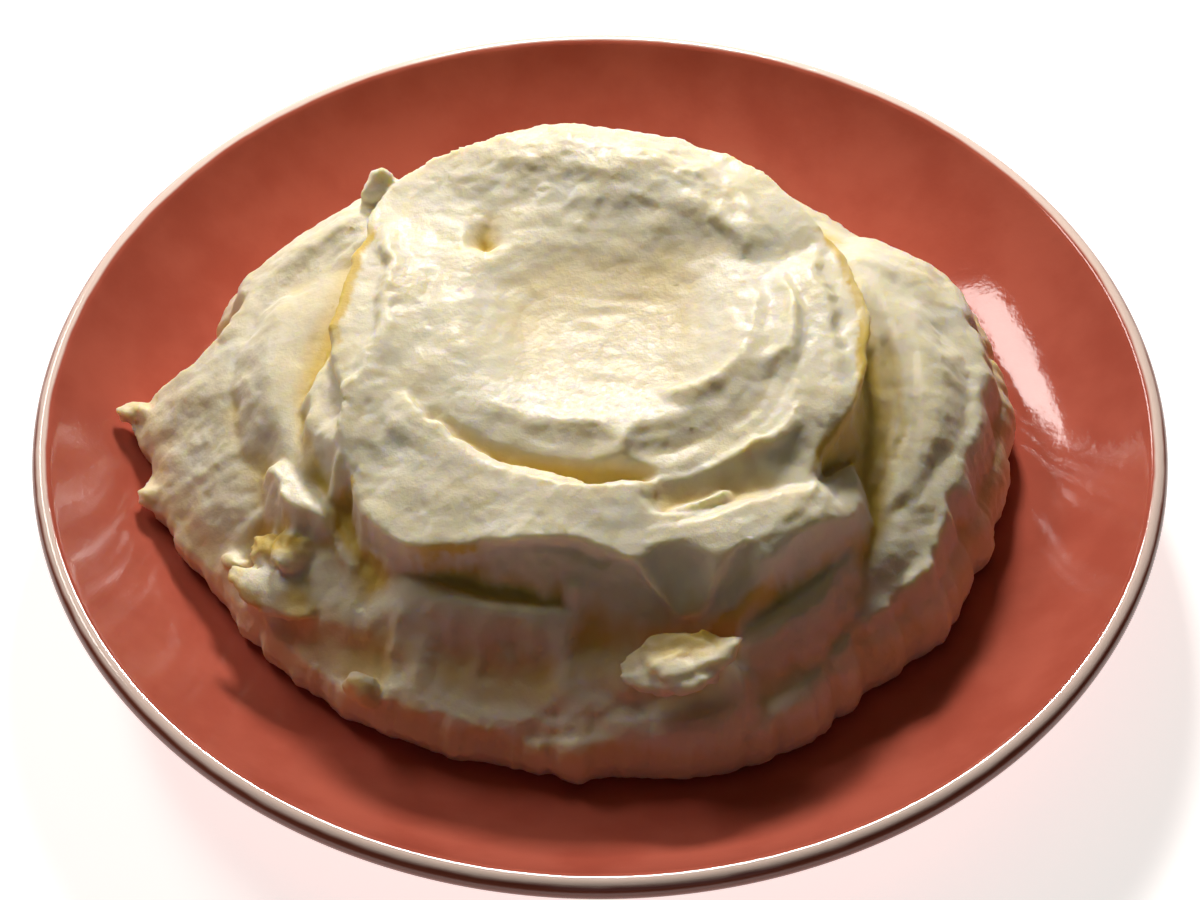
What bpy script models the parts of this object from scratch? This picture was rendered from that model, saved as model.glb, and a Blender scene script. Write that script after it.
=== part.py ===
"""A side of mashed potato, heaped and swirled with a spoon in a small glazed coupe plate.

The plate is turned from one profile. The mash is a mound built up in three blocks, the saddle, the
front step and the crown, each with a base radius and a few lobes. Spoon strokes are then swept round
it as arcs: folds are laid on with a soft maximum, troughs are scooped out with a soft minimum.
Lengths are in millimetres and become metres when a mesh is made. A place on the heap is (angle,
radius, height), with 0 degrees at +X and 270 at the front. The origin is on the table under the
centre of the plate, +Z is up, and the front of the heap faces -Y.
"""

import math
from typing import NamedTuple

import bmesh
import bpy
import numpy as np

MM = 0.001

# Plate
PLATE_RADIUS = 102.5
LIP_RADIUS = 2.1
FLOOR_HEIGHT = 7.5
FLAT_RADIUS = 55.0
WALL_ANGLE = math.radians(45.0)
FOOT_OUTER = 47.0
FOOT_INNER = 41.0
FOOT_RECESS = 1.8
PLATE_STEPS = 64
WALL_STEPS = 7
LIP_STEPS = 6

LIP_CENTRE = PLATE_RADIUS - LIP_RADIUS
WALL_END = LIP_CENTRE - LIP_RADIUS * math.sin(WALL_ANGLE)
WALL_CURVE = (WALL_END - FLAT_RADIUS) / math.sin(WALL_ANGLE)

# Mash
GAP = 0.3
MASH_RADIUS = 73.0
MASH_EDGE = 1.5
MASH_SPOKES = 96
MASH_RINGS = 30
UNDERSIDE_RINGS = (0.96, 0.88, 0.80, 0.70)
MOUND_FOOT = 10.0
MOUND_HEIGHT = 28.0
SIDE_HEIGHT = 15.0
SIDE_WIDTH = 7.0
SIDE_SLOPE = 3.0
ARC_STEPS = 24
REACH_SLOPE = 2.5
UNEVENNESS = 0.5

# Levels of the heap, and the rings that its strokes follow
CREST = 58.0
CROWN = 50.0
CREASE = 47.5
LEDGE = 43.0
STEP = 28.0
SKIRT = 18.0
WELL_RING = 30.0
CROWN_RING = 44.0
TROUGH_RING = 52.0
OUTER_RING = 67.0


class Lobe(NamedTuple):
    """Where an outline bulges out or pulls in, or where an edge rises or dips."""

    angle: float
    spread: float
    amount: float


class Flank(NamedTuple):
    """One side of a fold: its final slope, how far it rounds over, and how wide it lies."""

    slope: float
    rounding: float
    reach: float = 8.0


class Block(NamedTuple):
    """A block of mash: its outline, the level of its edge and of its middle, and its wall."""

    radius: float
    bulges: tuple
    level: float
    rises: tuple
    middle: float
    run: float
    wall: Flank
    blend: float = 1.5


class Fold(NamedTuple):
    """A ridge along an arc, which swings out by a bow and lifts by an arch half-way."""

    start: tuple
    end: tuple
    inner: Flank
    outer: Flank
    bow: float = 0.0
    arch: float = 0.0
    blend: float = 2.0


class Trough(NamedTuple):
    """A spoon's track along such an arc, with the curvature of its inner and outer wall."""

    start: tuple
    end: tuple
    inner: float
    outer: float
    bow: float = 0.0
    arch: float = 0.0
    blend: float = 1.5


class Well(NamedTuple):
    """A hollow pressed in with the back of the spoon, just in front of the axis."""

    setback: float
    floor: float
    width: float
    depth: float
    rise: float
    power: float
    blend: float = 3.0


# The outline on the plate: broad on the right and behind on the left, with two tips on the left
OUTLINE = (
    Lobe(18, 24, 4),
    Lobe(90, 26, -3),
    Lobe(152, 16, 4.5),
    Lobe(176, 5, 10),
    Lobe(188, 14, 8.5),
    Lobe(250, 15, -2),
    Lobe(291, 10, 1.5),
    Lobe(312, 12, -2.5),
)

# The saddle that carries the two long troughs: wide at the sides, narrow and high at the back
SADDLE = Block(
    radius=56, bulges=(Lobe(0, 32, 10), Lobe(180, 28, 10), Lobe(90, 35, -9), Lobe(270, 40, -14)),
    level=33, rises=(Lobe(90, 68, 16),), middle=46, run=9, wall=Flank(1, 6, 16), blend=3)

# The front step, deepest at the left corner and notched in the middle
FRONT_STEP = Block(
    radius=CROWN_RING, bulges=(Lobe(270, 60, 16), Lobe(216, 16, 15), Lobe(245, 10, 3), Lobe(269, 7, -5)),
    level=STEP, rises=(Lobe(215, 12, -3), Lobe(279, 6, -2)), middle=STEP + 3, run=14,
    wall=Flank(2.4, 1.8))

# The crown: a corner behind on the left, and two wide lobes that sink towards the front
CROWN_BLOCK = Block(
    radius=CROWN_RING, bulges=(Lobe(137, 12, 6), Lobe(222, 22, 11), Lobe(286, 9, 9), Lobe(312, 18, 10)),
    level=CROWN, rises=(Lobe(90, 35, 2), Lobe(228, 28, -7), Lobe(290, 20, -9), Lobe(318, 14, -5)),
    middle=CROWN + 2.5, run=12, wall=Flank(2.6, 1.5))

# The ring round the saddle, the tips on the left, and the three long tracks
SKIRT_STROKES = (
    Fold((140, 50, CROWN), (175, 68, STEP + 2), Flank(0.35, 8, 9), Flank(0.9, 6, 14), bow=4, blend=3),
    Fold((43, 49, CROWN), (-2, 65, STEP), Flank(0.4, 8, 12), Flank(0.9, 6, 14), bow=9, blend=3),
    Fold((176, 60, STEP + 3), (176, 87, SKIRT + 1), Flank(0.45, 6, 7), Flank(0.45, 6, 7), blend=3),
    Fold((187, 58, STEP + 3), (189, 83, SKIRT - 1), Flank(0.5, 6, 6), Flank(0.6, 6, 7), blend=3),
    Fold((190, 80, SKIRT), (220, 72, SKIRT - 4), Flank(0.4, 6), Flank(1, 5), bow=-2, blend=3),
    Fold((10, 72, SKIRT + 6), (-26, 71, SKIRT - 4), Flank(0.4, 5), Flank(1.2, 4), blend=3),
    Fold((-3, 57, STEP + 7), (-70, 68, SKIRT), Flank(0.5, 5, 10), Flank(1.1, 5, 12), bow=6, arch=-3,
         blend=2.5),
    Trough((140, TROUGH_RING - 5, CROWN - 1), (204, TROUGH_RING + 4, STEP + 8), 16, 26, bow=1, arch=-1),
    Trough((36, TROUGH_RING - 1, CROWN - 3), (-68, TROUGH_RING + 12, SKIRT + 2), 14, 20, bow=-4, arch=4),
    Trough((192, OUTER_RING - 1, STEP - 1), (204, OUTER_RING + 3, SKIRT + 2), 8, 8),
)

# The crest at the back, the two side walls, and the rim of the well
CROWN_STROKES = (
    Fold((139, CROWN_RING + 4, CROWN + 2), (27, CROWN_RING - 3, CROWN + 3), Flank(0.6, 8, 16),
         Flank(1, 6, 16), bow=-5, arch=CREST - CROWN - 2.5, blend=4),
    Fold((142, CROWN_RING + 2, CROWN + 2), (212, CROWN_RING + 8, CREASE), Flank(0.5, 4), Flank(2.4, 2),
         bow=-9, arch=3),
    Fold((28, CROWN_RING - 2, CROWN + 3), (-35, CROWN_RING + 4, CREASE), Flank(0.4, 4), Flank(2.4, 2),
         bow=-2, arch=2),
    Well(setback=3.5, floor=48, width=WELL_RING, depth=WELL_RING - 1, rise=9, power=3.2),
    Fold((115, WELL_RING - 6, CREST - 3), (22, WELL_RING + 2, CREST - 3), Flank(2, 1.5, 5),
         Flank(0.2, 4, 12), bow=2, arch=1),
)

# Swirls and creases round the front of the well, and the folds below them
FRONT_STROKES = (
    Fold((27, WELL_RING - 2, CREST - 3), (-60, WELL_RING - 13, CROWN), Flank(0.8, 3, 5),
         Flank(1, 3, 4), bow=2),
    Fold((25, WELL_RING + 3, CREST - 2), (-57, WELL_RING, CROWN), Flank(0.7, 4, 6), Flank(1.8, 2, 5),
         bow=1),
    Trough((195, WELL_RING + 5, CREASE + 3), (277, WELL_RING, CREASE), 7, 2, bow=-2, arch=-1, blend=1),
    Trough((284, WELL_RING + 1, CREASE), (356, WELL_RING, CREASE + 3), 7, 2, bow=1.5, arch=-1, blend=1),
    Fold((207, WELL_RING + 6, CREASE + 4), (255, WELL_RING + 6, CREASE + 2), Flank(2, 2, 6),
         Flank(0.4, 6, 13), bow=-1, blend=1.5),
    Fold((273, WELL_RING + 6, CREASE), (338, WELL_RING + 12, CREASE + 4), Flank(2, 2, 6),
         Flank(0.8, 3, 5), bow=-3, arch=1, blend=1.5),
    Trough((285, WELL_RING + 9, LEDGE + 1.5), (319, WELL_RING + 18, LEDGE + 3), 6, 3, bow=-3, arch=-1,
           blend=1),
    Fold((273, CROWN_RING - 1, LEDGE + 2), (322, CROWN_RING + 8, LEDGE + 3), Flank(1.2, 2, 5),
         Flank(0.45, 4, 9), bow=-3, arch=1, blend=1.5),
    Trough((207, CROWN_RING - 1, CROWN - 1), (220, CROWN_RING + 6, LEDGE + 2.5), 9, 9),
)

# What hangs and curls on the front slope: the hook, the torn flake and the roll on the plate
SLOPE_STROKES = (
    Fold((212, 62, STEP + 4), (210, 66, STEP + 2), Flank(0.7, 3, 3), Flank(0.9, 3, 3)),
    Fold((242, 66, STEP - 3), (243, 70, SKIRT + 1), Flank(1.5, 1.5), Flank(1.5, 2), bow=1),
    Fold((243, 70, SKIRT + 1), (268, 57, STEP - 1), Flank(1.5, 1.5), Flank(1.5, 2), bow=2, arch=-2),
    Fold((277, 60, STEP), (290, 61, STEP + 2), Flank(0.8, 3), Flank(1.5, 3)),
    Fold((252, 71, SKIRT - 3), (290, 70, SKIRT), Flank(0.6, 3), Flank(1, 4), bow=-3, arch=2),
    Fold((234, 73, SKIRT - 6), (247, 71, SKIRT - 5), Flank(0.6, 3), Flank(1, 3), arch=1),
)

HEAP = ((SADDLE,) + SKIRT_STROKES[:7] + (FRONT_STEP,) + SKIRT_STROKES[7:]
        + (CROWN_BLOCK,) + CROWN_STROKES + FRONT_STROKES + SLOPE_STROKES)


def clear_scene():
    """Remove every object of the open file."""
    for item in list(bpy.data.objects):
        bpy.data.objects.remove(item, do_unlink=True)


def make_material(name, colour, roughness):
    """Return a Principled material with a linear RGB colour."""
    material = bpy.data.materials.new(name)
    material.use_nodes = True
    shader = material.node_tree.nodes["Principled BSDF"]
    shader.inputs["Base Color"].default_value = (*colour, 1.0)
    shader.inputs["Roughness"].default_value = roughness
    shader.inputs["Metallic"].default_value = 0.0
    return material


def turn_profile(profile, steps):
    """Spin a profile of (radius, height), which starts and ends on the axis, into a closed body."""
    mesh = bmesh.new()
    verts = [mesh.verts.new((radius, 0.0, height)) for radius, height in profile]
    edges = [mesh.edges.new(pair) for pair in zip(verts, verts[1:])]
    bmesh.ops.spin(mesh, geom=verts + edges, cent=(0, 0, 0), axis=(0, 0, 1), dvec=(0, 0, 0),
                   angle=math.tau, steps=steps, use_merge=True)
    bmesh.ops.remove_doubles(mesh, verts=mesh.verts, dist=1e-4)
    return mesh


def add_object(name, mesh, material):
    """Turn a bmesh in millimetres into a smooth object in metres."""
    bmesh.ops.scale(mesh, verts=mesh.verts, vec=(MM, MM, MM))
    bmesh.ops.recalc_face_normals(mesh, faces=mesh.faces)
    data = bpy.data.meshes.new(name)
    mesh.to_mesh(data)
    mesh.free()
    data.materials.append(material)
    data.shade_smooth()
    data.set_sharp_from_angle(angle=math.radians(50))
    item = bpy.data.objects.new(name, data)
    bpy.context.collection.objects.link(item)
    return item


def plate_surface(radius):
    """Height of the plate's inner surface: a flat floor, then an arc that rises to the lip."""
    out = np.clip(radius - FLAT_RADIUS, 0.0, WALL_END - FLAT_RADIUS)
    return FLOOR_HEIGHT + WALL_CURVE - np.sqrt(WALL_CURVE ** 2 - out ** 2)


def plate_profile():
    """Inner floor and wall, full-round lip, outer wall one thickness below, foot ring."""
    thickness = 2 * LIP_RADIUS
    bend = [WALL_ANGLE * step / WALL_STEPS for step in range(WALL_STEPS + 1)]
    wall_axis = FLOOR_HEIGHT + WALL_CURVE
    inner = [(FLAT_RADIUS + WALL_CURVE * math.sin(a), wall_axis - WALL_CURVE * math.cos(a)) for a in bend]
    outer_curve = WALL_CURVE + thickness
    outer = [(FLAT_RADIUS + outer_curve * math.sin(a), wall_axis - outer_curve * math.cos(a)) for a in bend]
    lip_height = inner[-1][1] - LIP_RADIUS * math.cos(WALL_ANGLE)
    start = math.pi - (math.pi / 2 - WALL_ANGLE)
    turn = [start - math.pi * step / LIP_STEPS for step in range(1, LIP_STEPS)]
    lip = [(LIP_CENTRE + LIP_RADIUS * math.cos(a), lip_height + LIP_RADIUS * math.sin(a)) for a in turn]
    underside = FLOOR_HEIGHT - thickness
    foot = [(FOOT_OUTER + 1.5, underside), (FOOT_OUTER, 0.0), (FOOT_INNER, 0.0),
            (FOOT_INNER - 1.5, FOOT_RECESS), (0.0, FOOT_RECESS)]
    return [(0.0, FLOOR_HEIGHT)] + inner + lip + outer[::-1] + foot


def add_lobes(base, lobes, degrees):
    """A base value with every lobe's bell added to it, at each angle."""
    total = np.full(np.shape(degrees), float(base))
    for lobe in lobes:
        turn = (degrees - lobe.angle + 180.0) % 360.0 - 180.0
        total = total + lobe.amount * np.exp(-(turn / lobe.spread) ** 2)
    return total


def sweep_arc(stroke):
    """The stroke's arc as rows of x, y, height."""
    share = np.linspace(0.0, 1.0, ARC_STEPS + 1)
    middle = 4 * share * (1 - share)
    angle, radius, height = ((1 - share) * first + share * last
                             for first, last in zip(stroke.start, stroke.end))
    radius = radius + stroke.bow * middle
    turn = np.radians(angle)
    return np.column_stack((radius * np.cos(turn), radius * np.sin(turn), height + stroke.arch * middle))


def measure_arc(x, y, curve):
    """Distance to the arc, positive on its outer side, and the arc's height there."""
    nearest = np.full(x.shape, np.inf)
    height = np.zeros(x.shape)
    side = np.ones(x.shape)
    for start, end in zip(curve, curve[1:]):
        run = end - start
        share = ((x - start[0]) * run[0] + (y - start[1]) * run[1]) / (run[0] ** 2 + run[1] ** 2)
        share = np.clip(share, 0.0, 1.0)
        foot_x, foot_y = start[0] + share * run[0], start[1] + share * run[1]
        distance = np.hypot(x - foot_x, y - foot_y)
        closer = distance < nearest
        nearest = np.where(closer, distance, nearest)
        height = np.where(closer, start[2] + share * run[2], height)
        outward = (x - foot_x) * foot_x + (y - foot_y) * foot_y >= 0
        side = np.where(closer, np.where(outward, 1.0, -1.0), side)
    return nearest * side, height


def soft_max(a, b, blend):
    """Larger of two heights, rounded where they cross."""
    near = np.clip(blend - np.abs(a - b), 0.0, None) / blend
    return np.maximum(a, b) + near * near * blend / 4


def soft_min(a, b, blend):
    """Smaller of two heights, rounded where they cross."""
    return -soft_max(-a, -b, blend)


def flank_drop(distance, flank):
    """How far a fold's side has dropped at a distance from its crest."""
    rounded = flank.slope * distance ** 2 / (distance + flank.rounding)
    return rounded + REACH_SLOPE * np.clip(distance - flank.reach, 0.0, None)


def unevenness(x, y):
    """Small sideways wander, in millimetres, that keeps the strokes from being ruled lines."""
    return UNEVENNESS * (np.sin(0.61 * x + 0.37 * y) + np.sin(0.43 * x - 0.71 * y + 2.0))


def work_block(block, x, y, height):
    """Set a block on the surface, level inside its outline and walled outside it."""
    degrees = np.degrees(np.arctan2(y, x))
    distance = np.hypot(x, y) - add_lobes(block.radius, block.bulges, degrees) + unevenness(x, y)
    level = add_lobes(block.level, block.rises, degrees)
    fade = np.exp(-np.abs(distance) / block.run)
    within = level * fade + block.middle * (1 - fade)
    beyond = level - flank_drop(np.abs(distance), block.wall)
    return soft_max(height, np.where(distance < 0, within, beyond), block.blend)


def work_well(well, x, y, height):
    """Press the well into the surface."""
    spread = np.abs(x / well.width) ** well.power + np.abs((y + well.setback) / well.depth) ** well.power
    return soft_min(height, well.floor + well.rise * spread, well.blend)


def work_arc(stroke, x, y, height):
    """Lay a fold on the surface, or scoop a trough out of it."""
    distance, level = measure_arc(x, y, sweep_arc(stroke))
    distance = distance + unevenness(x, y)
    inside, away = distance < 0, np.abs(distance)
    if isinstance(stroke, Trough):
        curvature = np.where(inside, 2 * stroke.inner, 2 * stroke.outer)
        return soft_min(height, level + away ** 2 / curvature, stroke.blend)
    drop = np.where(inside, flank_drop(away, stroke.inner), flank_drop(away, stroke.outer))
    return soft_max(height, level - drop, stroke.blend)


WORK = {Block: work_block, Well: work_well, Fold: work_arc, Trough: work_arc}


def mash_outline(angle):
    """Radius of the mash where it meets the plate."""
    return add_lobes(MASH_RADIUS, OUTLINE, np.degrees(angle))


def mash_surface(x, y):
    """Height of the mash's upper surface over the table."""
    radius = np.hypot(x, y)
    rim = mash_outline(np.arctan2(y, x))
    share = np.clip(radius / rim, 0.0, 1.0)
    height = MOUND_FOOT + MOUND_HEIGHT * (1 - share ** 3.2) ** 0.55
    for stroke in HEAP:
        height = WORK[type(stroke)](stroke, x, y, height)
    inset = rim - radius
    roll = np.sqrt(1 - (1 - np.clip(inset / SIDE_WIDTH, 0.0, 1.0)) ** 2)
    side = MASH_EDGE + SIDE_HEIGHT * roll + SIDE_SLOPE * np.clip(inset - SIDE_WIDTH / 2, 0.0, None)
    height = soft_min(height, plate_surface(radius) + side, 2.0)
    return np.maximum(height, plate_surface(radius) + GAP + MASH_EDGE)


def build_plate():
    """The coupe plate, one turned piece."""
    glaze = make_material("plate_glaze", (0.43, 0.095, 0.069), 0.12)
    return add_object("plate", turn_profile(plate_profile(), PLATE_STEPS), glaze)


def build_mash():
    """The heap: a turned blank whose upper rings take the worked surface, its lower ones the plate's."""
    upper = [(ring / MASH_RINGS, 1.0) for ring in range(MASH_RINGS + 1)]
    lower = [(share, 0.0) for share in (1.0,) + UNDERSIDE_RINGS] + [(0.0, 0.0)]
    mesh = turn_profile(upper + lower, MASH_SPOKES)
    blank = np.array([vert.co[:] for vert in mesh.verts])
    angle = np.arctan2(blank[:, 1], blank[:, 0])
    radius = np.hypot(blank[:, 0], blank[:, 1]) * mash_outline(angle)
    x, y = radius * np.cos(angle), radius * np.sin(angle)
    under = plate_surface(radius) + GAP
    z = np.where(blank[:, 2] > 0.5, mash_surface(x, y), under)
    for vert, place in zip(mesh.verts, zip(x, y, z)):
        vert.co = place
    potato = make_material("mash_potato", (0.87, 0.80, 0.52), 0.5)
    return add_object("mash", mesh, potato)


clear_scene()
build_plate()
build_mash()
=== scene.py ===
"""Mashed potato in a small glazed coupe plate: the finished look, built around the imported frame.

The heap is one body of mash. Its top is a height field built up in three blocks, the saddle, the
front step and the crown. Spoon strokes are swept round it as arcs: folds are laid on, troughs and
the well are scooped out. The body is pressed from a sphere to that field, torn flakes and drips are
joined to it, and the skin is then roughened where no spoon smoothed it. The plate is one turned
piece.

The form of the mash is in millimetres. A place on it is (angle, radius, height): the angle in
degrees round the plate's axis, 0 at +X and 270 at the front, the radius from the axis and the
height over the table. Meshes are in metres. The front of the heap faces -Y.
"""

import itertools
import logging
import math
from dataclasses import dataclass, field
from enum import Enum
from typing import Any

import bpy
import numpy as np
from mathutils import Matrix, Vector

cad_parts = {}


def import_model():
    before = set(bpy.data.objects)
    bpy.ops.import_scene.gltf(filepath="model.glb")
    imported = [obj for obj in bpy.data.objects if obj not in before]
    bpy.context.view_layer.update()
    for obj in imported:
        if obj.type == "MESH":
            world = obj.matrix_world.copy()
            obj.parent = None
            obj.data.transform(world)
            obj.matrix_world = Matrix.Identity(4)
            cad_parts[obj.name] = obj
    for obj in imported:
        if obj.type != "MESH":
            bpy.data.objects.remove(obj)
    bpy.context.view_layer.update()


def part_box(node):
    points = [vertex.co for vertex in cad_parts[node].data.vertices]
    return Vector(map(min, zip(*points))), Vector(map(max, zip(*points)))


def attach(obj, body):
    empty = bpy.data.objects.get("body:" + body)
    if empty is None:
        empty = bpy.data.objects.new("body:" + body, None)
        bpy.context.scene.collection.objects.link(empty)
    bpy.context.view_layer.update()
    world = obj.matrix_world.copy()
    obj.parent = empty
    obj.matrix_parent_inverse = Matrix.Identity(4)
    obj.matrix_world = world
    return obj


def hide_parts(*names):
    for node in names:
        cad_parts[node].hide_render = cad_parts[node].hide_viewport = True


LOG = logging.getLogger("mashed_potato")
MM = 0.001

Place = tuple[float, float, float]
Colour = tuple[float, float, float, float]


# Small tools for meshes


def select_only(*pieces: bpy.types.Object) -> None:
    """Select some pieces and nothing else, and make the first of them active.

    Args:
        *pieces: The pieces to select; none clears the selection.
    """
    for item in bpy.context.selected_objects:
        item.select_set(False)
    for piece in pieces:
        piece.select_set(True)
    if pieces:
        bpy.context.view_layer.objects.active = pieces[0]


def start_piece(name: str) -> bpy.types.Object:
    """Name the primitive that was just added.

    Args:
        name: The piece's name.

    Returns:
        The new piece, which is the active object.
    """
    piece = bpy.context.active_object
    piece.name = name
    piece.data.name = name
    return piece


def get_vectors(rows: bpy.types.bpy_prop_collection, name: str) -> np.ndarray:
    """Read one vector from each of a mesh's rows, such as each vertex's place.

    Args:
        rows: The mesh's vertices or its vertex normals.
        name: What is read from them.

    Returns:
        One row of x, y, z for each.
    """
    vectors = np.empty(len(rows) * 3)
    rows.foreach_get(name, vectors)
    return vectors.reshape(-1, 3)


def set_points(piece: bpy.types.Object, points: np.ndarray) -> None:
    """Move a mesh's points.

    Args:
        piece: The object whose mesh is changed.
        points: One row of x, y, z for each vertex, in metres.
    """
    piece.data.vertices.foreach_set("co", points.ravel())
    piece.data.update()


def apply_modifier(piece: bpy.types.Object, kind: str, **settings: Any) -> None:
    """Add a modifier to a piece and apply it.

    Args:
        piece: The object to change.
        kind: The modifier's type.
        **settings: The modifier's own settings.
    """
    bpy.context.view_layer.objects.active = piece
    bpy.ops.object.modifier_add(type=kind)
    modifier = piece.modifiers[-1]
    for setting, value in settings.items():
        setattr(modifier, setting, value)
    bpy.ops.object.modifier_apply(modifier=modifier.name)


def shade_smooth(piece: bpy.types.Object, angle: float = math.pi) -> None:
    """Shade a piece smooth, with edges sharper than an angle left hard.

    Args:
        piece: The object to shade.
        angle: The sharpest angle that is still shaded smooth, in radians.
    """
    select_only(piece)
    if angle < math.pi:
        bpy.ops.object.shade_smooth_by_angle(angle=angle)
    else:
        bpy.ops.object.shade_smooth()


# Small tools for materials


def srgb(code: str) -> Colour:
    """Turn a hex colour into the linear colour that a shader takes.

    Args:
        code: Six hex digits, red, green and blue.

    Returns:
        Linear red, green and blue, with an alpha of 1.
    """
    channels = [int(code[start:start + 2], 16) / 255 for start in (0, 2, 4)]
    linear = [c / 12.92 if c <= 0.04045 else ((c + 0.055) / 1.055) ** 2.4 for c in channels]
    return (linear[0], linear[1], linear[2], 1.0)


def add_node(tree: bpy.types.NodeTree, kind: str, settings: dict[str, Any] | None = None,
             links: dict[str | int, bpy.types.NodeSocket] | None = None) -> bpy.types.Node:
    """Add a shader node with its settings and links.

    Args:
        tree: The material's node tree.
        kind: The node's type name, without the ShaderNode in front.
        settings: Values by name, for the node itself or for one of its inputs.
        links: The socket that feeds each named or numbered input.

    Returns:
        The new node.
    """
    node = tree.nodes.new("ShaderNode" + kind)
    for name, value in (settings or {}).items():
        if isinstance(name, str) and hasattr(node, name):
            setattr(node, name, value)
        else:
            node.inputs[name].default_value = value
    for name, socket in (links or {}).items():
        tree.links.new(socket, node.inputs[name])
    return node


def new_material(name: str) -> tuple[bpy.types.Material, bpy.types.NodeTree, bpy.types.Node]:
    """Start a node material.

    Args:
        name: The material's name.

    Returns:
        The material, its node tree and its output node.
    """
    material = bpy.data.materials.new(name)
    material.use_nodes = True
    tree = material.node_tree
    tree.nodes.clear()
    return material, tree, tree.nodes.new("ShaderNodeOutputMaterial")


# Noise that lies on whole arrays


class Grain:
    """Smooth gradient noise in three dimensions, the same on each run."""

    CELLS = 256
    STRENGTH = 1.6
    OCTAVE_SHIFT = 17.3

    def __init__(self, seed: int) -> None:
        """Draw the noise's directions.

        Args:
            seed: Which noise this is.
        """
        draw = np.random.default_rng(seed)
        self.order = np.tile(draw.permutation(self.CELLS), 3)
        steep = draw.normal(size=(self.CELLS, 3))
        self.steep = steep / np.linalg.norm(steep, axis=1, keepdims=True)

    def at(self, points: np.ndarray) -> np.ndarray:
        """Read the noise, about -1 to 1, at points given in noise cells.

        Args:
            points: Rows of three coordinates.

        Returns:
            One value for each point.
        """
        cell = np.floor(points).astype(np.int64)
        local = points - cell
        fade = local ** 3 * (local * (local * 6 - 15) + 10)
        cell = cell % self.CELLS
        total = np.zeros(points.shape[:-1])
        for corner in itertools.product((0, 1), repeat=3):
            index = self.order[cell[..., 0] + corner[0]]
            index = self.order[index + cell[..., 1] + corner[1]]
            index = self.order[index + cell[..., 2] + corner[2]]
            push = ((local - np.array(corner)) * self.steep[index]).sum(-1)
            weight = np.where(np.array(corner) == 1, fade, 1 - fade).prod(-1)
            total += weight * push
        return total * self.STRENGTH

    def rough(self, points: np.ndarray, size: float, octaves: int = 3, keep: float = 0.5) -> np.ndarray:
        """Add finer and finer noise together.

        Args:
            points: Rows of three coordinates.
            size: The width of the coarsest lump, in the points' own unit.
            octaves: How many times the lumps are halved.
            keep: How strong each finer noise is against the one before.

        Returns:
            One value for each point.
        """
        total = np.zeros(points.shape[:-1])
        for octave in range(octaves):
            shift = self.OCTAVE_SHIFT * octave
            total += keep ** octave * self.at(points * (2 ** octave / size) + shift)
        return total


WANDER = Grain(11)
SKIN = Grain(23)


@dataclass(frozen=True)
class Unevenness:
    """One kind of unevenness on the skin: its width, and its height on torn and on smoothed mash."""

    size: float
    torn: float
    smoothed: float
    octaves: int
    keep: float
    shift: float

    def read(self, points: np.ndarray) -> np.ndarray:
        """Read its noise at points given in millimetres."""
        return SKIN.rough(points + self.shift, self.size, self.octaves, self.keep)


# Lumps, crumbs and grains
UNEVENNESS = (
    Unevenness(7.5, torn=0.34, smoothed=0.0, octaves=2, keep=0.5, shift=0.0),
    Unevenness(3.2, torn=0.14, smoothed=0.04, octaves=2, keep=0.6, shift=40.0),
    Unevenness(1.5, torn=0.06, smoothed=0.03, octaves=1, keep=0.5, shift=80.0),
)


# The spoon's strokes


# Levels of the heap, down from its crest
CREST = 57.5
CROWN = CREST - 7.5
CREASE = CROWN - 2.5
LEDGE = CREASE - 4.5
STEP = LEDGE - 15.0
SKIRT = STEP - 10.0

# Rings that its strokes follow, out from the well
WELL_RING = 30.0
CROWN_RING = WELL_RING + 14.0
TROUGH_RING = CROWN_RING + 8.0
OUTER_RING = TROUGH_RING + 15.0
BASE_RING = OUTER_RING + 6.0


@dataclass(frozen=True)
class Lobe:
    """Where an outline bulges out or pulls in, or an edge rises or dips: a bell round one angle."""

    angle: float
    spread: float
    amount: float


def add_lobes(base: float, lobes: tuple[Lobe, ...], degrees: np.ndarray) -> np.ndarray:
    """Add every lobe's bell to a base value.

    Args:
        base: The value away from all lobes.
        lobes: The lobes to add.
        degrees: Directions from the axis.

    Returns:
        The value in each direction.
    """
    total = np.full(np.shape(degrees), float(base))
    for lobe in lobes:
        turn = (degrees - lobe.angle + 180.0) % 360.0 - 180.0
        total = total + lobe.amount * np.exp(-(turn / lobe.spread) ** 2)
    return total


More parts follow.
